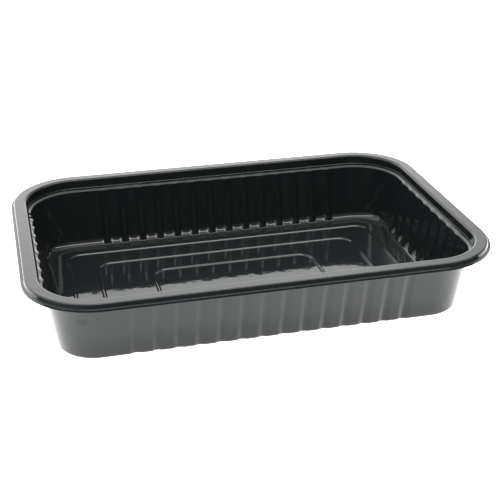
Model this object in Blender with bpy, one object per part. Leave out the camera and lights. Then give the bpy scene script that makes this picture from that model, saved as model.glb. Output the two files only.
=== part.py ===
"""Ovenable food tray: one thin thermoformed sheet with a flanged rim, ribbed walls and a ridged floor.

Metres, +Z up. The origin is in the middle of the underside. +X runs along the long side, -Y is the front.
The visible skin (the food side and the top of the rim) is laid out first, ring by ring from the cut edge
of the lip down to the middle of the floor. The underside follows it one sheet thickness away.
"""
import math

import bmesh
import bpy

# ---- driving dimensions, metres ----
SHEET = 0.00050            # thickness of the formed sheet
HEIGHT = 0.03778           # underside of the floor to the top of the flange
LIP_OUT = 0.00209          # how far the lip stands out beyond the flange
LIP_TOP_OUT = 0.00176      # the same at the top of the lip's leaning edge
FLANGE_L = 0.23082         # flange length, measured inside the lip
FLANGE_W = 0.15998         # flange width, measured inside the lip
FLANGE_R = 0.03370         # plan corner radius of the flange
SKIRT_OUT = 0.00080        # how far the skirt leans out at its foot
SKIRT = 0.00200            # drop from the flange top to the lip
LIP_DROP = 0.00305         # drop from the flange top to the cut edge of the lip
EDGE_ROUND = 0.00050       # rounding along the edges of the rim
FLANGE_IN = 0.00650        # inset of the flange's inner edge
LEDGE_A_IN = 0.00662       # inset of the upper, narrow ledge
LEDGE_A_DROP = 0.00460     # its depth below the flange
LEDGE_B_IN = 0.00702       # inset of the lower ledge that carries the rib tops
LEDGE_B_DROP = 0.00575     # its depth below the flange
WALL_IN = 0.00835          # inset of the wall panels where they leave the lower ledge
WALL_DROP = 0.00645        # their top's depth below the flange
LONG_SIDE_IN = 0.00090     # how much further in the ledges and walls of the long sides lie
END_WALL_OUT = 0.00040     # how much further out the end walls lie
FOOT_L = 0.20430           # length across the foot of the wall panels
FOOT_W = 0.12830           # width across the foot of the wall panels
FOOT_R = 0.01853           # plan corner radius of the foot
FILLET = 0.00300           # rounding between wall and floor
RIB_PITCH_LONG = 0.01037   # spacing of the ribs along the long sides
RIB_PITCH_END = 0.01055    # spacing of the ribs along the ends
RIBS_LONG = 14             # ribs on each long side
RIBS_END = 8               # ribs on each end
RIB_SHIFT_BACK = 0.00280   # sideways shift of the ribs of the back wall
RIB_ROOT = 0.00380         # width of a rib where it leaves the wall
RIB_CREST = 0.00180        # width of a rib's flat crest
RIB_TOP = 0.00120          # how far a rib stands in at the lower ledge
RIB_FOOT = 0.00210         # how far a rib stands in at the floor
RIDGES = (                 # floor ridges: centre line length, width, plan corner radius
    (0.17860, 0.10380, 0.0080),
    (0.14870, 0.07460, 0.0086),
    (0.09103, 0.04390, 0.0088),
)
RIDGE_BASE = 0.00310       # width of a ridge at the floor
RIDGE_CREST = 0.00100      # width of its flat crest
RIDGE_RISE = 0.00095       # its height above the floor
CORNER_STEPS = 8           # facets in each rounded corner

FLOOR = SHEET              # height of the floor's food side
SIDE_KEYS = 0.25           # half the span of column keys on one straight side

for stale in list(bpy.data.objects):
    bpy.data.objects.remove(stale, do_unlink=True)

# columns of one rib: distance from its middle, and whether the rib stands in there
NO_RIBS = ()
RIB_MIDDLES = ((0.0, False),)
RIB_SECTION = (
    (-RIB_ROOT / 2.0, False),
    (-RIB_CREST / 2.0, True),
    (RIB_CREST / 2.0, True),
    (RIB_ROOT / 2.0, False),
)


def level(half_x, half_y, radius, z, ribs=NO_RIBS, stand_in=0.0, squeeze=0.0):
    """One rounded rectangle of the tray at height z, with its ribs."""
    return {
        "half_x": half_x,
        "half_y": half_y,
        "radius": radius,
        "z": z,
        "ribs": ribs,
        "stand_in": stand_in,
        "squeeze": squeeze,
    }


def rim_level(inset, drop, ribs=NO_RIBS, long_side_in=0.0):
    """A level set in from the flange's edge and down from its top."""
    half_y = FLANGE_W / 2.0 - inset - long_side_in
    return level(FLANGE_L / 2.0 - inset, half_y, FLANGE_R - inset, HEIGHT - drop, ribs)


def offset_line(line, distance):
    """Move a line of (out, up) points sideways by a distance, with mitred corners."""
    normals = []
    for (h0, z0), (h1, z1) in zip(line[:-1], line[1:]):
        span = math.hypot(h1 - h0, z1 - z0)
        normals.append((-(z1 - z0) / span, (h1 - h0) / span))
    normals.insert(0, normals[0])
    normals.append(normals[-1])
    moved = []
    for (h, z), before, after in zip(line, normals[:-1], normals[1:]):
        share = distance / (1.0 + before[0] * after[0] + before[1] * after[1])
        moved.append((h + share * (before[0] + after[0]), z + share * (before[1] + after[1])))
    return moved


def underside(levels):
    """The same levels one sheet thickness below the food side."""
    along_x = offset_line([(one["half_x"], one["z"]) for one in levels], SHEET)
    along_y = offset_line([(one["half_y"], one["z"]) for one in levels], SHEET)
    below = []
    for one, (half_x, z_x), (half_y, z_y) in zip(levels, along_x, along_y):
        grown = 0.5 * (half_x - one["half_x"] + half_y - one["half_y"])
        flank = math.atan2(one["stand_in"], 0.5 * (RIB_ROOT - RIB_CREST))
        squeeze = SHEET * math.tan(0.5 * flank)
        radius = one["radius"] + grown
        below.append(level(half_x, half_y, radius, 0.5 * (z_x + z_y), one["ribs"], one["stand_in"], squeeze))
    return below


def outline(one):
    """The closed outline of a level, anticlockwise from the front: a list of (key, x, y, z).

    The key grows steadily round the outline, so that levels with unlike columns can be joined.
    """
    half_x = one["half_x"]
    half_y = one["half_y"]
    radius = one["radius"]
    sides = (
        # direction of travel, outward direction, distance out, reach, ribs, pitch, shift
        ((1, 0), (0, -1), half_y, half_x, RIBS_LONG, RIB_PITCH_LONG, 0.0),
        ((0, 1), (1, 0), half_x, half_y, RIBS_END, RIB_PITCH_END, 0.0),
        ((-1, 0), (0, 1), half_y, half_x, RIBS_LONG, RIB_PITCH_LONG, -RIB_SHIFT_BACK),
        ((0, -1), (-1, 0), half_x, half_y, RIBS_END, RIB_PITCH_END, 0.0),
    )
    points = []
    for number, (along, out, distance, reach, ribs, pitch, shift) in enumerate(sides):
        for index in range(ribs):
            middle = shift + (index - 0.5 * (ribs - 1)) * pitch
            for offset, raised in one["ribs"]:
                place = middle + offset - math.copysign(min(one["squeeze"], abs(offset)), offset)
                depth = distance - (one["stand_in"] if raised else 0.0)
                key = 2.0 * number + 0.5 + SIDE_KEYS * (middle + offset) / (0.5 * FLANGE_L)
                x = along[0] * place + out[0] * depth
                y = along[1] * place + out[1] * depth
                points.append((key, x, y, one["z"]))
        centre_x = along[0] * (reach - radius) + out[0] * (distance - radius)
        centre_y = along[1] * (reach - radius) + out[1] * (distance - radius)
        start = math.atan2(out[1], out[0])
        for step in range(CORNER_STEPS + 1):
            turn = start + 0.5 * math.pi * step / CORNER_STEPS
            key = 2.0 * number + 1.0 + 0.999 * step / CORNER_STEPS
            x = centre_x + radius * math.cos(turn)
            y = centre_y + radius * math.sin(turn)
            points.append((key, x, y, one["z"]))
    return points


def join_keys(outer, inner):
    """Stitch two outlines, stepping along whichever is behind: faces as ('outer' or 'inner', index)."""
    faces = []
    i = 0
    j = 0
    while i < len(outer) or j < len(inner):
        next_outer = outer[i + 1] if i + 1 < len(outer) else outer[0] + 8.0
        next_inner = inner[j + 1] if j + 1 < len(inner) else inner[0] + 8.0
        a = (0, i % len(outer))
        b = (1, j % len(inner))
        a2 = (0, (i + 1) % len(outer))
        b2 = (1, (j + 1) % len(inner))
        if i < len(outer) and j < len(inner) and abs(next_outer - next_inner) < 1e-6:
            faces.append((a, a2, b2))
            faces.append((a, b2, b))
            i += 1
            j += 1
        elif j >= len(inner) or (i < len(outer) and next_outer < next_inner):
            faces.append((a, a2, b))
            i += 1
        else:
            faces.append((a, b2, b))
            j += 1
    return faces


# rim: cut edge of the lip, lip, skirt, flange, upper ledge, lower ledge
levels = [
    rim_level(-LIP_OUT, LIP_DROP),
    rim_level(-LIP_TOP_OUT, SKIRT + 0.00020),
    rim_level(-LIP_TOP_OUT + 0.00025, SKIRT),
    rim_level(-SKIRT_OUT, SKIRT),
    rim_level(-0.00015, EDGE_ROUND),
    rim_level(EDGE_ROUND, 0.0),
    rim_level(FLANGE_IN - 1.6 * EDGE_ROUND, 0.0),
    rim_level(FLANGE_IN, 1.6 * EDGE_ROUND),
    rim_level(LEDGE_A_IN, LEDGE_A_DROP, NO_RIBS, LONG_SIDE_IN),
    rim_level(LEDGE_A_IN + 0.00020, LEDGE_A_DROP + 0.00018, RIB_MIDDLES, LONG_SIDE_IN),
    rim_level(LEDGE_B_IN, LEDGE_B_DROP, RIB_MIDDLES, LONG_SIDE_IN),
]

# wall: from the lower ledge to the floor, with the ribs standing in
edge_x = FLANGE_L / 2.0 - WALL_IN + END_WALL_OUT
edge_y = FLANGE_W / 2.0 - WALL_IN - LONG_SIDE_IN
edge_r = FLANGE_R - WALL_IN
edge_z = HEIGHT - WALL_DROP + 0.00010
levels.append(level(edge_x + 0.00015, edge_y + 0.00015, edge_r, edge_z, RIB_SECTION, RIB_TOP))
levels.append(level(edge_x - 0.00020, edge_y - 0.00020, edge_r, edge_z - 0.00060, RIB_SECTION, RIB_TOP))
for degrees in (78.0, 52.0, 26.0, 0.0):
    turn = math.radians(degrees)
    beyond = FILLET * (math.sin(turn) - 0.857)
    z = FLOOR + FILLET * (1.0 - math.cos(turn))
    stand_in = RIB_FOOT - 0.10 * FILLET * (1.0 - math.sin(turn))
    levels.append(
        level(FOOT_L / 2.0 + beyond, FOOT_W / 2.0 + beyond, FOOT_R + beyond, z, RIB_SECTION, stand_in)
    )

# floor: three ridges, one inside the other
RIDGE_SECTION = (
    (RIDGE_BASE / 2.0, FLOOR),
    (RIDGE_CREST / 2.0, FLOOR + RIDGE_RISE),
    (-RIDGE_CREST / 2.0, FLOOR + RIDGE_RISE),
    (-RIDGE_BASE / 2.0, FLOOR),
)
for length, width, radius in RIDGES:
    for beyond, z in RIDGE_SECTION:
        levels.append(level(length / 2.0 + beyond, width / 2.0 + beyond, radius + beyond, z))

bm = bmesh.new()
keys = [[point[0] for point in outline(one)] for one in levels]
skins = []
for skin_levels in (levels, underside(levels)):
    skins.append([[bm.verts.new(point[1:]) for point in outline(one)] for one in skin_levels])
food_side, under_side = skins

for number in range(len(levels) - 1):
    for face in join_keys(keys[number], keys[number + 1]):
        bm.faces.new([food_side[number + which][index] for which, index in face])
        bm.faces.new([under_side[number + which][index] for which, index in reversed(face)])
bm.faces.new(food_side[-1])
bm.faces.new(list(reversed(under_side[-1])))

# the cut edge of the lip closes the sheet
count = len(food_side[0])
for index in range(count):
    after = (index + 1) % count
    bm.faces.new((food_side[0][after], food_side[0][index], under_side[0][index], under_side[0][after]))

bmesh.ops.triangulate(bm, faces=bm.faces[:])
bm.normal_update()
mesh = bpy.data.meshes.new("tray")
bm.to_mesh(mesh)
bm.free()

tray = bpy.data.objects.new("tray", mesh)
bpy.context.scene.collection.objects.link(tray)

for polygon in mesh.polygons:
    polygon.use_smooth = True
mesh.set_sharp_from_angle(angle=math.radians(24.0))

plastic = bpy.data.materials.new("black_plastic")
plastic.use_nodes = True
shader = plastic.node_tree.nodes["Principled BSDF"]
shader.inputs["Base Color"].default_value = (0.012, 0.013, 0.013, 1.0)
shader.inputs["Roughness"].default_value = 0.16
shader.inputs["Metallic"].default_value = 0.0
mesh.materials.append(plastic)
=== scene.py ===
# %% [markdown]
# # An ovenable food tray
# This lesson builds a black meal tray, the kind that goes from the freezer to the oven. The real one is
# drawn from a single hot plastic sheet, so it is one skin with no joints: a lip, a flange for the sealing
# film, two small ledges, ribbed walls and a floor with three nested ridges. The solid of the tray is loaded
# first, and everything that follows is laid on it in the same frame, in metres.

import math

import bpy
from mathutils import Matrix
from mathutils import Vector


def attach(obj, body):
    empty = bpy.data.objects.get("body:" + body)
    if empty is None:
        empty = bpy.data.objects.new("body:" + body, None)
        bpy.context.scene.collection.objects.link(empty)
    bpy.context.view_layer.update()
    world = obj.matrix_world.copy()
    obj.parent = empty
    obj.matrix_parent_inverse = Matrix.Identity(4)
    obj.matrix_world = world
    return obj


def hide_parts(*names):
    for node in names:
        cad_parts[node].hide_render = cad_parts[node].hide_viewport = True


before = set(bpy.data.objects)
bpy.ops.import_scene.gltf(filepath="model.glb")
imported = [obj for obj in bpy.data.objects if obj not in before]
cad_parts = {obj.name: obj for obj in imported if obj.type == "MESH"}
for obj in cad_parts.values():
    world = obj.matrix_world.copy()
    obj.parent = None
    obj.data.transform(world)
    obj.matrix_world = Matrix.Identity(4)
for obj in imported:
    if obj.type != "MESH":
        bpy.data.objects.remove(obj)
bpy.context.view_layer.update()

# %% [markdown]
# ## The sizes that drive the shape
# A formed tray follows a few plain rules, so a handful of numbers is enough. All outlines are rounded
# rectangles. A step inwards keeps the corners concentric, which is how the mould is cut. The outlines and
# heights are those of the solid. Ribs, ridges and rounding radii are finer here, because they make the
# highlights.

# %% Sizes of the tray
MM = 0.001
SHEET = 0.50 * MM
HEIGHT = 37.78 * MM
FLANGE_L = 230.82 * MM
FLANGE_W = 159.98 * MM
FLANGE_R = 33.70 * MM
LIP_OUT = 2.09 * MM
LONG_SIDE_IN = 0.90 * MM  # how much further in the long sides stand, inside the flange
FLOOR = SHEET

RIBS_LONG = 14
RIBS_END = 8
RIB_PITCH_LONG = 10.37 * MM
RIB_PITCH_END = 10.55 * MM
RIB_SHIFT_BACK = 2.80 * MM  # how far the ribs of the back wall are shifted sideways
RIB_ROOT = 4.40 * MM  # how wide a rib leaves the wall, low down
RIB_ROOT_TOP = 7.60 * MM  # the same at the top of the wall
RIB_CREST = 1.00 * MM  # how wide its flat crest is
RIB_TOP = 0.70 * MM  # how far it stands in at the top of the wall
RIB_FOOT = 2.10 * MM  # how far it stands in at the foot
GROOVE_ROOT = 6.60 * MM  # how wide the groove behind a rib is
GROOVE_SHARE = 0.60  # how deep that groove is, as a share of the rib's height
ROOT_FLARE = 1.50  # how much wider a rib gets in its last stretch above the floor
FLARE_HEIGHT = 5.50 * MM  # where that last stretch begins

FILLET = 5.00 * MM  # rounding between wall and floor, on the food side
UNDER_FILLET = 2.60 * MM  # the same on the underside
RIB_FILLET = 0.60 * MM  # rounding between a rib's crest and the floor
FOOT_LEAN = 0.50 * MM  # how much further in the foot of a long wall stands
END_FOOT_LEAN = 1.20 * MM  # how much further out the foot of an end wall stands
FOOT_RADIUS_LESS = 0.60 * MM  # how much smaller the corner radius is at the foot

RIDGES = (
    # length, width, corner radius
    (178.60 * MM, 103.80 * MM, 8.0 * MM),
    (148.70 * MM, 74.60 * MM, 8.6 * MM),
    (91.03 * MM, 43.90 * MM, 8.8 * MM),
)
RIDGE_BASE = 2.40 * MM  # how wide a ridge is at the floor
RIDGE_CREST = 0.50 * MM  # how wide its flat crest is
RIDGE_RISE = 0.62 * MM  # how far it stands up
RIDGE_TUCK = 0.30 * MM  # how much narrower a ridge is on the underside
CORNER_STEPS = 24
print("sheet", SHEET / MM, "mm;", 2 * (RIBS_LONG + RIBS_END), "ribs;", len(RIDGES), "ridges")

# %% [markdown]
# ## The section through the wall
# Cut the tray across and the sheet shows as one bent line. It is written as a list of corners, each with
# its inset from the flange's edge, its height and its rounding radius. A list of corners is easy to check
# against the real rim, and the arcs follow from it.

# %% Corners of the section, from the cut edge to the floor
SECTION = (
    # inset from the flange's edge, height, rounding radius
    (-LIP_OUT, HEIGHT - 3.05 * MM, 0.0),
    (-1.76 * MM, HEIGHT - 2.06 * MM, 0.20 * MM),
    (-0.80 * MM, HEIGHT - 2.00 * MM, 0.12 * MM),
    (0.0, HEIGHT, 0.85 * MM),
    (6.50 * MM, HEIGHT, 1.60 * MM),
    (6.64 * MM, HEIGHT - 4.62 * MM, 0.08 * MM),
    (6.82 * MM, HEIGHT - 4.78 * MM, 0.15 * MM),
    (7.02 * MM, HEIGHT - 5.75 * MM, 0.15 * MM),
    (8.35 * MM, HEIGHT - 6.45 * MM, 0.50 * MM),
    (14.57 * MM, FLOOR, FILLET),
    (21.00 * MM, FLOOR, 0.0),
)
ARC_STEPS = (0, 7, 3, 9, 10, 3, 4, 4, 6, 16, 0)
FLANGE_INNER_EDGE = 4
RIBBED_FROM = 7
WALL_TOP_CORNER = 8
WALL_FOOT_CORNER = 9
print("section has", len(SECTION), "corners and", sum(ARC_STEPS), "steps in its arcs")

# %% [markdown]
# ## The underside of the section
# The underside is the same line moved sideways by the sheet thickness: an outer bend gets a tighter radius
# there and an inner bend a wider one, just as bent sheet does. The foot of the wall is the one exception.
# It is pressed from the food side, so it has a radius of its own underneath.

# %% Move the section sideways
LEAST_RADIUS = 0.12 * MM


def directions(corners):
    """Unit direction of every straight stretch of the section."""
    found = []
    for start, end in zip(corners[:-1], corners[1:]):
        found.append((Vector(end[:2]) - Vector(start[:2])).normalized())
    return found


def moved_sideways(corners, distance):
    """The section one sheet thickness further out, with its radii changed to suit."""
    ways = directions(corners)
    ways = [ways[0]] + ways + [ways[-1]]
    moved = []
    for corner, before, after in zip(corners, ways[:-1], ways[1:]):
        side_before = Vector((before.y, -before.x))
        side_after = Vector((after.y, -after.x))
        share = distance / (1.0 + side_before.dot(side_after))
        place = Vector(corner[:2]) + share * (side_before + side_after)
        bend = before.x * after.y - before.y * after.x
        radius = UNDER_FILLET if corner[2] == FILLET else corner[2] + math.copysign(distance, bend)
        moved.append((place.x, place.y, max(radius, LEAST_RADIUS) if corner[2] else 0.0))
    return moved


UNDER_SECTION = moved_sideways(SECTION, SHEET)
print("lowest point of the underside:", round(UNDER_SECTION[-1][1] / MM, 3), "mm")

# %% [markdown]
# ## Round the bends
# Rounding a corner means replacing it with a short arc. Each arc gets a guard point on either side, on the
# straight stretch and close to the bend. Smooth shading blends across every edge, and the guards keep the
# blend inside the bend, so that the flat stretches stay flat to the eye.

# %% Points of the rounded section
GUARD = 0.06 * MM


def rounded(corners, steps):
    """Points of the section with every corner replaced by an arc: (inset, height, corner number)."""
    ways = directions(corners)
    points = []
    for number, (corner, count) in enumerate(zip(corners, steps)):
        if not count:
            points.append((corner[0], corner[1], number))
            if number == 0:
                guard = Vector(corner[:2]) + ways[0] * GUARD
                points.append((guard.x, guard.y, number))
            continue
        before = ways[number - 1]
        after = ways[number]
        turn = math.acos(max(-1.0, min(1.0, before.dot(after))))
        reach = corner[2] * math.tan(0.5 * turn)
        here = Vector(corner[:2])
        side = 1.0 if before.x * after.y - before.y * after.x > 0.0 else -1.0
        start = here - before * reach
        centre = start + Vector((-before.y, before.x)) * side * corner[2]
        spoke = start - centre
        guard = start - before * GUARD
        points.append((guard.x, guard.y, number))
        for step in range(count + 1):
            angle = side * turn * step / count
            place = centre + Matrix.Rotation(angle, 2) @ spoke
            points.append((place.x, place.y, number))
        guard = here + after * (reach + GUARD)
        points.append((guard.x, guard.y, number))
    return points


food_section = rounded(SECTION, ARC_STEPS)
under_section = rounded(UNDER_SECTION, ARC_STEPS)
print("section has", len(food_section), "points on each side")

# %% [markdown]
# ## Round the corner, rib by rib
# Every point of the section runs once round the tray and draws one outline. The rim and the floor need
# points only in their four corners, but a ribbed outline also needs a dense comb of points at each rib.
# So there are two kinds of outline. Each point carries a key that grows on the way round, and with the
# keys two outlines of different kinds can be stitched together, on flat stretches where it doesn't show.

# %% Points of one outline
COMB_MIDDLE = (0.35, 0.60, 0.75, 0.90, 1.05, 1.20, 1.35, 1.50, 1.65, 1.80, 1.95)
COMB_END = (2.15, 2.40, 2.70, 3.05, 3.45, 3.90, 4.40)
HALF_RIB_COMB = [value * MM for value in COMB_MIDDLE + COMB_END]
RIB_COMB = [-value for value in reversed(HALF_RIB_COMB)] + [0.0] + HALF_RIB_COMB
KEY_SHARE = 0.4 / (0.5 * FLANGE_L)  # what a key grows by along a side
CORNER_KEYS = 0.999  # what a key grows by round a corner
CORNER_GUARD = 0.50 * MM

SIDES = (
    # way of travel, way out, ribs, pitch, shift, travels along the length
    ((1, 0), (0, -1), RIBS_LONG, RIB_PITCH_LONG, 0.0, True),
    ((0, 1), (1, 0), RIBS_END, RIB_PITCH_END, 0.0, False),
    ((-1, 0), (0, 1), RIBS_LONG, RIB_PITCH_LONG, -RIB_SHIFT_BACK, True),
    ((0, -1), (-1, 0), RIBS_END, RIB_PITCH_END, 0.0, False),
)


def outline(half_x, half_y, radius, ribbed):
    """Points anticlockwise: key, x, y, way inwards, place along the side, on an end, in the comb."""
    points = []
    for number, (along, out, ribs, pitch, shift, is_long) in enumerate(SIDES):
        reach, distance = (half_x, half_y) if is_long else (half_y, half_x)
        way_in = (-out[0], -out[1], 0.0)
        if ribbed:
            for index in range(ribs):
                for offset in RIB_COMB:
                    place = shift + (index - 0.5 * (ribs - 1)) * pitch + offset
                    key = 2.0 * number + 0.5 + KEY_SHARE * place
                    x = along[0] * place + out[0] * distance
                    y = along[1] * place + out[1] * distance
                    points.append((key, x, y, way_in, place - shift, float(not is_long), 1.0))
        centre_x = along[0] * (reach - radius) + out[0] * (distance - radius)
        centre_y = along[1] * (reach - radius) + out[1] * (distance - radius)
        start = math.atan2(out[1], out[0])
        for step in range(-1, CORNER_STEPS + 2):
            turn = start + 0.5 * math.pi * min(CORNER_STEPS, max(0, step)) / CORNER_STEPS
            key = 2.0 * number + 1.0 + CORNER_KEYS * step / CORNER_STEPS
            inwards = (-math.cos(turn), -math.sin(turn), 0.0)
            x = centre_x - radius * inwards[0]
            y = centre_y - radius * inwards[1]
            if step < 0:
                x -= along[0] * CORNER_GUARD
                y -= along[1] * CORNER_GUARD
            elif step > CORNER_STEPS:
                x -= out[0] * CORNER_GUARD
                y -= out[1] * CORNER_GUARD
            points.append((key, x, y, inwards, 0.0, 0.0, 0.0))
    return points


print("a ribbed outline has", len(outline(0.1, 0.07, 0.02, True)), "points")


# %% [markdown]
# ## The smooth skin
# First the tray is laid out without ribs and ridges, as one list of outlines for the food side and one for
# the underside. Each outline also says how far a rib may reach there. A rib's own line runs down the wall a
# little steeper than the wall's, so the reach is what lies between the two lines. The floor gets a few
# outlines close together wherever a ridge will rise.

# %% How far a rib stands in
WALL_TOP = SECTION[WALL_TOP_CORNER]
WALL_FOOT = SECTION[WALL_FOOT_CORNER]
WALL_LEAN = (WALL_FOOT[0] - WALL_TOP[0]) / (WALL_TOP[1] - WALL_FOOT[1])
HALF_TURN = 0.5 * (0.5 * math.pi - math.atan(WALL_LEAN))
RIB_TANGENT = WALL_FOOT[0] + RIB_FOOT + RIB_FILLET * math.tan(HALF_TURN)
MOST_EXTRA_REACH = 1.5 * MM
print("the wall leans out by", round(math.degrees(math.atan(WALL_LEAN)), 1), "degrees")


def down_the_wall(height):
    """Nought at the top of the wall, one at the floor."""
    return min(1.0, max(0.0, (WALL_TOP[1] - height) / (WALL_TOP[1] - FLOOR)))


def rib_reach(inset, height, sheet):
    """How far a rib stands in from a wall point; its own foot is rounded more tightly than the wall's."""
    share = down_the_wall(height)
    reach = RIB_TOP + (RIB_FOOT - RIB_TOP) * share
    line = WALL_TOP[0] + WALL_LEAN * (WALL_TOP[1] - height) + reach - sheet / math.cos(math.atan(WALL_LEAN))
    radius = RIB_FILLET + sheet
    rise = FLOOR + RIB_FILLET - height
    foot = RIB_TANGENT - math.sqrt(max(0.0, radius * radius - rise * rise)) if rise > 0.0 else line
    return min(reach + MOST_EXTRA_REACH, max(0.0, max(line, foot) - inset)) if share > 0.0 else RIB_TOP


# %% Outlines of one skin
LEDGE_RIB_REACH = 0.25 * RIB_TOP
FLANK_COMB = [0.1 * MM * count for count in range(15)]
RIDGE_COMB = FLANK_COMB[::-1] + [-value for value in FLANK_COMB[1:]]


def skin_outlines(section, sheet):
    """Outlines of one skin: half sizes, radius, height, ribbed or not, rib reach, floor or not."""
    found = []
    for number, (inset, height, corner) in enumerate(section[:-1]):
        spots = [(inset, height)]
        if corner == WALL_TOP_CORNER and section[number + 1][2] == WALL_FOOT_CORNER:
            below = section[number + 1]
            for part in (0.33, 0.67):
                spots.append((inset + (below[0] - inset) * part, height + (below[1] - height) * part))
        for spot_inset, spot_height in spots:
            share = down_the_wall(spot_height)
            long_side_in = LONG_SIDE_IN if corner > FLANGE_INNER_EDGE else 0.0
            half_x = 0.5 * FLANGE_L - spot_inset + END_FOOT_LEAN * share
            half_y = 0.5 * FLANGE_W - spot_inset - long_side_in - FOOT_LEAN * share
            radius = FLANGE_R - spot_inset - FOOT_RADIUS_LESS * share
            ribbed = corner >= RIBBED_FROM
            reach = rib_reach(spot_inset, spot_height, sheet)
            if corner == RIBBED_FROM:
                reach = LEDGE_RIB_REACH
            if sheet:
                reach *= GROOVE_SHARE
            found.append((half_x, half_y, radius, spot_height, ribbed, reach, 0.0))
    floor_height = section[-1][1]
    for length, width, radius in RIDGES:
        for beyond in RIDGE_COMB:
            half_x = 0.5 * length + beyond
            half_y = 0.5 * width + beyond
            found.append((half_x, half_y, radius + beyond, floor_height, False, 0.0, 1.0))
    return found


food_outlines = skin_outlines(food_section, 0.0)
under_outlines = skin_outlines(under_section, SHEET)
print(len(food_outlines), "outlines on the food side and", len(under_outlines), "on the underside")

# %% [markdown]
# ## Stitch the outlines
# Neighbouring outlines don't always have the same number of points, so the faces between them are made by
# walking both at once and always stepping along the one whose key lags behind. Where both keys agree, a
# four-sided face fits, and otherwise a triangle does.

# %% Faces between two outlines


def stitch(outer, inner):
    """Faces between two outlines, as (which outline, index); steps along whichever lags behind."""
    faces = []
    i = 0
    j = 0
    while i < len(outer) or j < len(inner):
        next_outer = outer[i + 1] if i + 1 < len(outer) else outer[0] + 8.0
        next_inner = inner[j + 1] if j + 1 < len(inner) else inner[0] + 8.0
        a = (0, i % len(outer))
        b = (1, j % len(inner))
        a2 = (0, (i + 1) % len(outer))
        b2 = (1, (j + 1) % len(inner))
        if i < len(outer) and j < len(inner) and abs(next_outer - next_inner) < 1e-6:
            faces.append((a, a2, b2, b))
            i += 1
            j += 1
        elif j >= len(inner) or (i < len(outer) and next_outer < next_inner):
            faces.append((a, a2, b))
            i += 1
        else:
            faces.append((a, b2, b))
            j += 1
    return faces


print("a ring of four on a ring of four gives", len(stitch([0, 2, 4, 6], [0, 2, 4, 6])), "faces")

# %% [markdown]
# ## Lay out both skins
# The outlines become points and faces, the underside's turned the other way round so that all faces look
# outwards. Every point also stores what the next steps need: which way is inwards, how far a rib may reach,
# where the point lies along its side and on which kind of side, whether it belongs to a rib's comb, to the
# floor or to the underside, and how much a rib flares or widens at its height.

# %% Points, faces and stored values
STORED = ("inwards", "rib_reach", "side_place", "on_end", "in_comb", "on_floor", "tuck", "flare", "high")
FLARE_POWER = 2
WIDENING_POWER = 1.5


def flare_share(height):
    """One at the floor, nought above the stretch where a rib flares."""
    return max(0.0, 1.0 - (height - FLOOR) / FLARE_HEIGHT) ** FLARE_POWER


def widening_share(height):
    """One at the top of the wall, nought at the floor."""
    return (1.0 - down_the_wall(height)) ** WIDENING_POWER


points = []
faces = []
facts = {name: [] for name in STORED}
rings_by_skin = []
for tuck, skin in ((0.0, food_outlines), (1.0, under_outlines)):
    rings = []
    for half_x, half_y, radius, height, ribbed, reach, on_floor in skin:
        ring = []
        for key, x, y, inwards, place, on_end, in_comb in outline(half_x, half_y, radius, ribbed):
            ring.append((key, len(points)))
            points.append((x, y, height))
            facts["inwards"].append(inwards)
            facts["rib_reach"].append(reach)
            facts["side_place"].append(place)
            facts["on_end"].append(on_end)
            facts["in_comb"].append(in_comb)
            facts["on_floor"].append(on_floor)
            facts["tuck"].append(tuck)
            facts["flare"].append(flare_share(height) * (1.0 - tuck))
            facts["high"].append(widening_share(height) * (1.0 - tuck))
        rings.append(ring)
    for outer, inner in zip(rings[:-1], rings[1:]):
        for face in stitch([key for key, index in outer], [key for key, index in inner]):
            corners = [(outer, inner)[which][index][1] for which, index in face]
            faces.append(corners if not tuck else corners[::-1])
    middle = [index for key, index in rings[-1]]
    faces.append(middle if not tuck else middle[::-1])
    rings_by_skin.append(rings)
print("both skins:", len(points), "points,", len(faces), "faces")

# %% Close the cut edge and make the mesh
food_edge = [index for key, index in rings_by_skin[0][0]]
under_edge = [index for key, index in rings_by_skin[1][0]]
for index in range(len(food_edge)):
    after = (index + 1) % len(food_edge)
    faces.append((food_edge[after], food_edge[index], under_edge[index], under_edge[after]))

skin_mesh = bpy.data.meshes.new("smooth_skin")
skin_mesh.from_pydata(points, [], faces)
for name, values in facts.items():
    kind = "FLOAT_VECTOR" if name == "inwards" else "FLOAT"
    attribute = skin_mesh.attributes.new(name, kind, "POINT")
    if kind == "FLOAT":
        attribute.data.foreach_set("value", values)
    else:
        attribute.data.foreach_set("vector", [part for value in values for part in value])
tray = bpy.data.objects.new("tray_skin", skin_mesh)
bpy.context.scene.collection.objects.link(tray)
print("smooth skin:", len(points), "points,", len(faces), "faces")

# %% [markdown]
# ## Black formed plastic
# The sheet is a crystallised polyester, dyed through, so its colour has hardly any pattern of its own. What
# the eye reads as the material is its gloss: a clear mirror image with a slight haze, and a faint
# unevenness where the hot sheet touched the mould. What is the same all over is set straight on the shader.
# Only the haze and the unevenness come from noise, which is laid through the tray in its own space.

# %% Colour, haze and unevenness
SHEET_COLOUR = (0.0074, 0.0090, 0.0095, 1.0)


def node(tree, kind, place, **settings):
    """Add a node, set its plain properties and return it."""
    made = tree.nodes.new(kind)
    made.location = place
    for name, value in settings.items():
        setattr(made, name, value)
    return made


plastic = bpy.data.materials.new("black_formed_plastic")
plastic.use_nodes = True
web = plastic.node_tree
shader = web.nodes["Principled BSDF"]
shader.inputs["Base Color"].default_value = SHEET_COLOUR
shader.inputs["IOR"].default_value = 1.40

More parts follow.
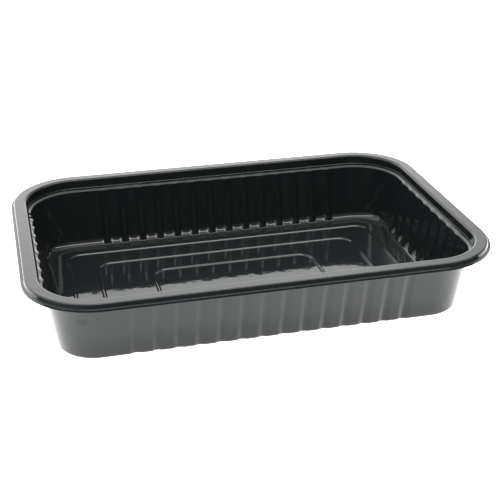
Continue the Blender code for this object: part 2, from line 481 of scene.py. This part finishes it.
spots = node(web, "ShaderNodeTexCoord", (-1200, 0))
haze = node(web, "ShaderNodeTexNoise", (-900, 200))
haze.inputs["Scale"].default_value = 35.0
haze.inputs["Detail"].default_value = 3.0
web.links.new(spots.outputs["Object"], haze.inputs["Vector"])
gloss = node(web, "ShaderNodeMapRange", (-600, 200))
gloss.inputs["To Min"].default_value = 0.03
gloss.inputs["To Max"].default_value = 0.07
web.links.new(haze.outputs["Fac"], gloss.inputs["Value"])
web.links.new(gloss.outputs["Result"], shader.inputs["Roughness"])

skin_noise = node(web, "ShaderNodeTexNoise", (-900, -200))
skin_noise.inputs["Scale"].default_value = 150.0
skin_noise.inputs["Detail"].default_value = 2.0
web.links.new(spots.outputs["Object"], skin_noise.inputs["Vector"])
unevenness = node(web, "ShaderNodeBump", (-300, -200))
unevenness.inputs["Strength"].default_value = 1.0
unevenness.inputs["Distance"].default_value = 0.00005
web.links.new(skin_noise.outputs["Fac"], unevenness.inputs["Height"])
web.links.new(unevenness.outputs["Normal"], shader.inputs["Normal"])
print("plastic has", len(web.nodes), "nodes before its rub marks")

# %% [markdown]
# ## Two rub marks
# Trays are stacked and rub against each other, which leaves dull spots on the outer wall. Each one here is
# a soft oval round a point of the wall. It could be painted, but a distance to a point needs no picture and
# stays smooth at any size.

# %% The rub marks
RUB_MARKS = (
    # middle, half size
    ((-0.0916, -0.0675, 0.0229), (0.0045, 0.0060, 0.0028)),
    ((-0.0844, -0.0696, 0.0245), (0.0016, 0.0060, 0.0010)),
)


def scuff(middle, half_size):
    """A soft oval rub mark: one in its middle, nought outside."""
    shifted = node(web, "ShaderNodeVectorMath", (-900, -500), operation="SUBTRACT")
    web.links.new(spots.outputs["Object"], shifted.inputs[0])
    shifted.inputs[1].default_value = middle
    stretched = node(web, "ShaderNodeVectorMath", (-700, -500), operation="DIVIDE")
    web.links.new(shifted.outputs[0], stretched.inputs[0])
    stretched.inputs[1].default_value = half_size
    length = node(web, "ShaderNodeVectorMath", (-500, -500), operation="LENGTH")
    web.links.new(stretched.outputs[0], length.inputs[0])
    soft = node(web, "ShaderNodeMapRange", (-300, -500), interpolation_type="SMOOTHSTEP")
    web.links.new(length.outputs["Value"], soft.inputs["Value"])
    soft.inputs["From Min"].default_value = 0.2
    soft.inputs["From Max"].default_value = 1.0
    soft.inputs["To Min"].default_value = 1.0
    soft.inputs["To Max"].default_value = 0.0
    return soft.outputs["Result"]


marks = node(web, "ShaderNodeMath", (-200, -500), operation="MAXIMUM")
for number, (middle, half_size) in enumerate(RUB_MARKS):
    web.links.new(scuff(middle, half_size), marks.inputs[number])
dulled = node(web, "ShaderNodeMapRange", (0, -500))
dulled.inputs["To Min"].default_value = 0.50
dulled.inputs["To Max"].default_value = 0.38
web.links.new(marks.outputs[0], dulled.inputs["Value"])
web.links.new(dulled.outputs["Result"], shader.inputs["Specular IOR Level"])
print("plastic has", len(web.nodes), "nodes with its rub marks")

# %% [markdown]
# ## Press the ribs and ridges
# Ribs and ridges follow a rule, so Geometry Nodes press them into the smooth skin. A rib is a swelling
# that depends only on the distance to the nearest rib middle, and a ridge one that depends on the distance
# to a rounded rectangle. Sizes are named inputs of the tree, so any of them can be changed in the modifier.

# %% The tree and its named sizes
press = bpy.data.node_groups.new("press_ribs_and_ridges", "GeometryNodeTree")
press.is_modifier = True
press.interface.new_socket("Geometry", in_out="INPUT", socket_type="NodeSocketGeometry")
press.interface.new_socket("Geometry", in_out="OUTPUT", socket_type="NodeSocketGeometry")
SIZES = {
    "Pitch long side": RIB_PITCH_LONG,
    "Pitch end": RIB_PITCH_END,
    "Rib root": RIB_ROOT,
    "Rib root top": RIB_ROOT_TOP,
    "Rib crest": RIB_CREST,
    "Root flare": ROOT_FLARE,
    "Groove root": GROOVE_ROOT,
    "Groove crest": 0.0,
    "Ridge base": RIDGE_BASE,
    "Ridge crest": RIDGE_CREST,
    "Ridge rise": RIDGE_RISE,
    "Ridge tuck": RIDGE_TUCK,
}
for number, (length, width, radius) in enumerate(RIDGES):
    SIZES[f"Ridge {number + 1} length"] = length
    SIZES[f"Ridge {number + 1} width"] = width
    SIZES[f"Ridge {number + 1} corner"] = radius
for name in SIZES:
    press.interface.new_socket(name, in_out="INPUT", socket_type="NodeSocketFloat")
sizes = node(press, "NodeGroupInput", (-1800, 0)).outputs
relief_end = node(press, "NodeGroupOutput", (1400, 0))
print("the tree has", len(SIZES), "named sizes")

# %% Small helpers for the tree


def calc(operation, first, second=None, third=None):
    """One Math node; each value is a socket or a number."""
    made = node(press, "ShaderNodeMath", (0, 0), operation=operation)
    for slot_number, value in enumerate((first, second, third)):
        if isinstance(value, bpy.types.NodeSocket):
            press.links.new(value, made.inputs[slot_number])
        elif value is not None:
            made.inputs[slot_number].default_value = value
    return made.outputs[0]


def fact(name, kind="FLOAT"):
    """Read a number or a direction stored on the points."""
    made = node(press, "GeometryNodeInputNamedAttribute", (-1800, -600), data_type=kind)
    made.inputs["Name"].default_value = name
    return made.outputs["Attribute"]


def swelling(distance, crest, root):
    """One inside the crest, nought beyond the root, and a soft flank between."""
    made = node(press, "ShaderNodeMapRange", (0, 0), interpolation_type="SMOOTHSTEP")
    press.links.new(distance, made.inputs["Value"])
    press.links.new(calc("MULTIPLY", crest, 0.5), made.inputs["From Min"])
    press.links.new(calc("MULTIPLY", root, 0.5), made.inputs["From Max"])
    made.inputs["To Min"].default_value = 1.0
    made.inputs["To Max"].default_value = 0.0
    return made.outputs["Result"]


def either(food_side, underside):
    """The first size on the food side, the second on the underside."""
    return calc("ADD", food_side, calc("MULTIPLY", calc("SUBTRACT", underside, food_side), fact("tuck")))


# %% [markdown]
# ## Ribs that flare at the foot
# The place along a side, divided by the pitch, tells which rib is nearest and how far off it is. Where that
# distance is small, the skin is pushed inwards. A rib is wide and soft at the top of the wall, where it
# scallops the ledge, narrow further down, and it flares again just above the floor.

# %% The ribs
end_share = calc("MULTIPLY", calc("SUBTRACT", sizes["Pitch end"], sizes["Pitch long side"]), fact("on_end"))
pitch = calc("ADD", sizes["Pitch long side"], end_share)
nearest = calc("ADD", calc("FLOOR", calc("DIVIDE", fact("side_place"), pitch)), 0.5)
rib_distance = calc("ABSOLUTE", calc("SUBTRACT", fact("side_place"), calc("MULTIPLY", nearest, pitch)))
root_flare = calc("MULTIPLY_ADD", fact("flare"), sizes["Root flare"], 1.0)
wider = calc("SUBTRACT", sizes["Rib root top"], sizes["Rib root"])
food_root = calc("MULTIPLY_ADD", fact("high"), wider, sizes["Rib root"])
rib_root = calc("MULTIPLY", either(food_root, sizes["Groove root"]), root_flare)
rib_crest = either(sizes["Rib crest"], sizes["Groove crest"])
rib_swelling = swelling(rib_distance, rib_crest, rib_root)
rib_height = calc("MULTIPLY", calc("MULTIPLY", rib_swelling, fact("rib_reach")), fact("in_comb"))
rib_push = node(press, "ShaderNodeVectorMath", (600, 200), operation="SCALE")
press.links.new(fact("inwards", "FLOAT_VECTOR"), rib_push.inputs[0])
press.links.new(rib_height, rib_push.inputs["Scale"])
press_ribs = node(press, "GeometryNodeSetPosition", (800, 0))
press.links.new(sizes["Geometry"], press_ribs.inputs["Geometry"])
press.links.new(rib_push.outputs[0], press_ribs.inputs["Offset"])
print("rib nodes:", len(press.nodes))

# %% [markdown]
# ## Ridges round the floor
# A ridge runs along a rounded rectangle. The distance of a point to such a rectangle has a short formula:
# take away the straight parts, and what is left is the distance to a quarter circle. Near the line, the
# floor is lifted. The three ridges differ only in their sizes, so a loop makes them.

# %% The ridges
split = node(press, "ShaderNodeSeparateXYZ", (-1500, -900))
press.links.new(node(press, "GeometryNodeInputPosition", (-1800, -900)).outputs[0], split.inputs[0])
ridge_base = either(sizes["Ridge base"], calc("SUBTRACT", sizes["Ridge base"], sizes["Ridge tuck"]))
ridge_crest = either(sizes["Ridge crest"], calc("SUBTRACT", sizes["Ridge crest"], sizes["Ridge tuck"]))
ridge_swelling = 0.0
for number in range(len(RIDGES)):
    corner = sizes[f"Ridge {number + 1} corner"]
    beyond = []
    for axis, size in (("X", "length"), ("Y", "width")):
        core = calc("SUBTRACT", calc("MULTIPLY", sizes[f"Ridge {number + 1} {size}"], 0.5), corner)
        beyond.append(calc("SUBTRACT", calc("ABSOLUTE", split.outputs[axis]), core))
    outside_x = calc("MAXIMUM", beyond[0], 0.0)
    outside_y = calc("MAXIMUM", beyond[1], 0.0)
    squares = calc("ADD", calc("MULTIPLY", outside_x, outside_x), calc("MULTIPLY", outside_y, outside_y))
    inside = calc("MINIMUM", calc("MAXIMUM", beyond[0], beyond[1]), 0.0)
    ridge_distance = calc("ABSOLUTE", calc("SUBTRACT", calc("ADD", calc("SQRT", squares), inside), corner))
    one_ridge = swelling(ridge_distance, ridge_crest, ridge_base)
    ridge_swelling = calc("MAXIMUM", one_ridge, ridge_swelling)
ridge_height = calc("MULTIPLY", calc("MULTIPLY", ridge_swelling, sizes["Ridge rise"]), fact("on_floor"))
ridge_push = node(press, "ShaderNodeCombineXYZ", (600, -300))
press.links.new(ridge_height, ridge_push.inputs["Z"])
press_ridges = node(press, "GeometryNodeSetPosition", (1000, 0))
press.links.new(press_ribs.outputs["Geometry"], press_ridges.inputs["Geometry"])
press.links.new(ridge_push.outputs[0], press_ridges.inputs["Offset"])
print("rib and ridge nodes:", len(press.nodes))

# %% End of the tree
smooth = node(press, "GeometryNodeSetShadeSmooth", (1100, 0))
realize = node(press, "GeometryNodeRealizeInstances", (1200, 0))
finish = node(press, "GeometryNodeSetMaterial", (1300, 0))
finish.inputs["Material"].default_value = plastic
press.links.new(press_ridges.outputs["Geometry"], smooth.inputs["Geometry"])
press.links.new(smooth.outputs["Geometry"], realize.inputs["Geometry"])
press.links.new(realize.outputs["Geometry"], finish.inputs["Geometry"])
press.links.new(finish.outputs["Geometry"], relief_end.inputs["Geometry"])
print("whole tree:", len(press.nodes), "nodes")

# %% [markdown]
# ## From tree to plain mesh
# The tree runs once as a modifier, with its sizes set by each input's identifier. The result is kept as a
# plain mesh, and the stored values have done their work and go. The finished sheet then takes the place of
# the solid tray and rides on the tray's only body.

# %% Run the tree and keep a plain mesh
modifier = tray.modifiers.new("relief", "NODES")
modifier.node_group = press
for item in press.interface.items_tree:
    if item.in_out == "INPUT" and item.name in SIZES:
        modifier[item.identifier] = SIZES[item.name]
pressed = bpy.data.meshes.new_from_object(tray.evaluated_get(bpy.context.evaluated_depsgraph_get()))
tray.modifiers.remove(modifier)
for name in facts:
    pressed.attributes.remove(pressed.attributes[name])
pressed.name = "tray_sheet"
tray.data = pressed
tray.name = "tray_sheet"
bpy.data.meshes.remove(skin_mesh)
triangles = sum(len(polygon.vertices) - 2 for polygon in pressed.polygons)
print("tray sheet:", triangles, "triangles, materials", [slot.name for slot in pressed.materials])

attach(tray, "root")
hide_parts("tray")

# %% [markdown]
# ## A pale floor and soft light
# Glossy black shows hardly anything but what it mirrors, so the surroundings are the real finish. The wide
# pale floor gives the outer walls their grey sheen. It glows a little by itself, so that it stays even all
# the way to its edges, where no lamp could reach.

# %% Floor
FLOOR_REACH = 6.0
FLOOR_DROP = 0.0001  # keeps the floor just clear of the tray's underside
floor_mesh = bpy.data.meshes.new("studio_floor")
floor_mesh.from_pydata(
    [(x * FLOOR_REACH, y * FLOOR_REACH, -FLOOR_DROP) for x, y in ((-1, -1), (1, -1), (1, 1), (-1, 1))],
    [],
    [(0, 1, 2, 3)],
)
floor = bpy.data.objects.new("studio_floor", floor_mesh)
bpy.context.scene.collection.objects.link(floor)
pale = bpy.data.materials.new("pale_floor")
pale.use_nodes = True
pale_shader = pale.node_tree.nodes["Principled BSDF"]
pale_shader.inputs["Base Color"].default_value = (0.86, 0.86, 0.86, 1.0)
pale_shader.inputs["Roughness"].default_value = 0.9
pale_shader.inputs["Specular IOR Level"].default_value = 0.0
pale_shader.inputs["Emission Color"].default_value = (1.0, 1.0, 1.0, 1.0)
pale_shader.inputs["Emission Strength"].default_value = 2.10
floor_mesh.materials.append(pale)
print("floor reaches", FLOOR_REACH, "m to each side")

# %% [markdown]
# ## A sky that is bright behind and dark in front
# The flange lies flat, so it mirrors the sky behind the tray, which is bright. The inner walls mirror what
# is in front and near the horizon, and that is dark, so they stay black. The sky is built from ramps along
# its three axes. To the far right it is dimmer, which shades the right end of the flange.

# %% Sky
world = bpy.data.worlds.new("studio")
world.use_nodes = True
sky = world.node_tree
sky_way = node(sky, "ShaderNodeTexCoord", (-800, 0))
sky_split = node(sky, "ShaderNodeSeparateXYZ", (-600, 0))
sky.links.new(sky_way.outputs["Generated"], sky_split.inputs[0])


def sky_ramp(axis, start, end, low, high):
    """A value that runs from low to high between two places along one axis of the sky."""
    ramp = node(sky, "ShaderNodeMapRange", (-400, -200))
    for label, value in (("From Min", start), ("From Max", end), ("To Min", low), ("To Max", high)):
        ramp.inputs[label].default_value = value
    sky.links.new(sky_split.outputs[axis], ramp.inputs["Value"])
    return ramp.outputs["Result"]


def sky_math(operation, first, second):
    """One Math node of the sky."""
    made = node(sky, "ShaderNodeMath", (-200, 0), operation=operation)
    sky.links.new(first, made.inputs[0])
    sky.links.new(second, made.inputs[1])
    return made.outputs[0]


front_to_back = sky_ramp("Y", -1.0, 0.5, 0.03, 3.00)
above_horizon = sky_ramp("Z", 0.05, 0.40, 0.10, 1.0)
behind = sky_ramp("Y", 0.15, 0.45, 0.0, 1.0)
left_to_right = sky_ramp("X", 0.30, 0.55, 1.0, 0.40)
patch = sky_math("MULTIPLY", sky_math("MAXIMUM", above_horizon, behind), left_to_right)
brightness = sky_math("MULTIPLY", front_to_back, patch)
sky.links.new(brightness, sky.nodes["Background"].inputs["Strength"])
sky.nodes["Background"].inputs["Color"].default_value = (1.0, 1.0, 1.0, 1.0)
bpy.context.scene.world = world
bpy.context.scene.view_settings.view_transform = "Standard"
print("sky has", len(sky.nodes), "nodes")

# %% [markdown]
# ## One long soft box
# The light lines on the ridges and along the foot of the walls are all mirror images of one lamp. It hangs
# above and in front, is long from left to right and narrow from front to back. Its length carries the lines
# round the corners and up the flanks of the ribs, and its narrowness keeps them thin.

# %% Soft box


def soft_box(name, place, aim, size, watts):
    """A rectangular area light that points at a spot."""
    light = bpy.data.lights.new(name, "AREA")
    light.shape = "RECTANGLE"
    light.size = size[0]
    light.size_y = size[1]
    light.energy = watts
    lamp = bpy.data.objects.new(name, light)
    lamp.location = place
    lamp.rotation_euler = (Vector(aim) - Vector(place)).to_track_quat("-Z", "Y").to_euler()
    bpy.context.scene.collection.objects.link(lamp)


LAMP_SIZE = (3.60, 0.20)
soft_box("long_soft_box", place=(0.20, -0.33, 1.1), aim=(0.20, 0.0, 0.0), size=LAMP_SIZE, watts=20.6)
print("soft box:", LAMP_SIZE[0], "by", LAMP_SIZE[1], "m")

# %% [markdown]
# ## The camera
# The camera stands a little to the left of the tray and looks down on it at about twenty-five degrees, with
# a short telephoto lens. Its three directions are worked out from yaw, pitch and roll, because a matrix
# made of them leaves no doubt about the order of the turns.

# %% Camera
CAMERA_PLACE = (-0.11976, -0.48977, 0.25634)
CAMERA_YAW = 0.249
CAMERA_PITCH = 0.442
CAMERA_ROLL = -0.001
SENSOR_WIDTH = 36.0
FRAME_WIDTH = 500.0
FOCAL_LENGTH = 1039.45
LENS = FOCAL_LENGTH / FRAME_WIDTH * SENSOR_WIDTH

forward = Vector(
    (
        math.sin(CAMERA_YAW) * math.cos(CAMERA_PITCH),
        math.cos(CAMERA_YAW) * math.cos(CAMERA_PITCH),
        -math.sin(CAMERA_PITCH),
    )
)
level_right = Vector((math.cos(CAMERA_YAW), -math.sin(CAMERA_YAW), 0.0))
level_up = level_right.cross(forward)
right = level_right * math.cos(CAMERA_ROLL) + level_up * math.sin(CAMERA_ROLL)
up = level_up * math.cos(CAMERA_ROLL) - level_right * math.sin(CAMERA_ROLL)
lens = bpy.data.cameras.new("camera")
lens.sensor_width = SENSOR_WIDTH
lens.lens = LENS
lens.clip_start = 0.01
camera = bpy.data.objects.new("camera", lens)
turned = Matrix((right, up, -forward)).transposed().to_4x4()
camera.matrix_world = Matrix.Translation(CAMERA_PLACE) @ turned
bpy.context.scene.collection.objects.link(camera)
bpy.context.scene.camera = camera
print("lens", round(LENS, 2), "mm")
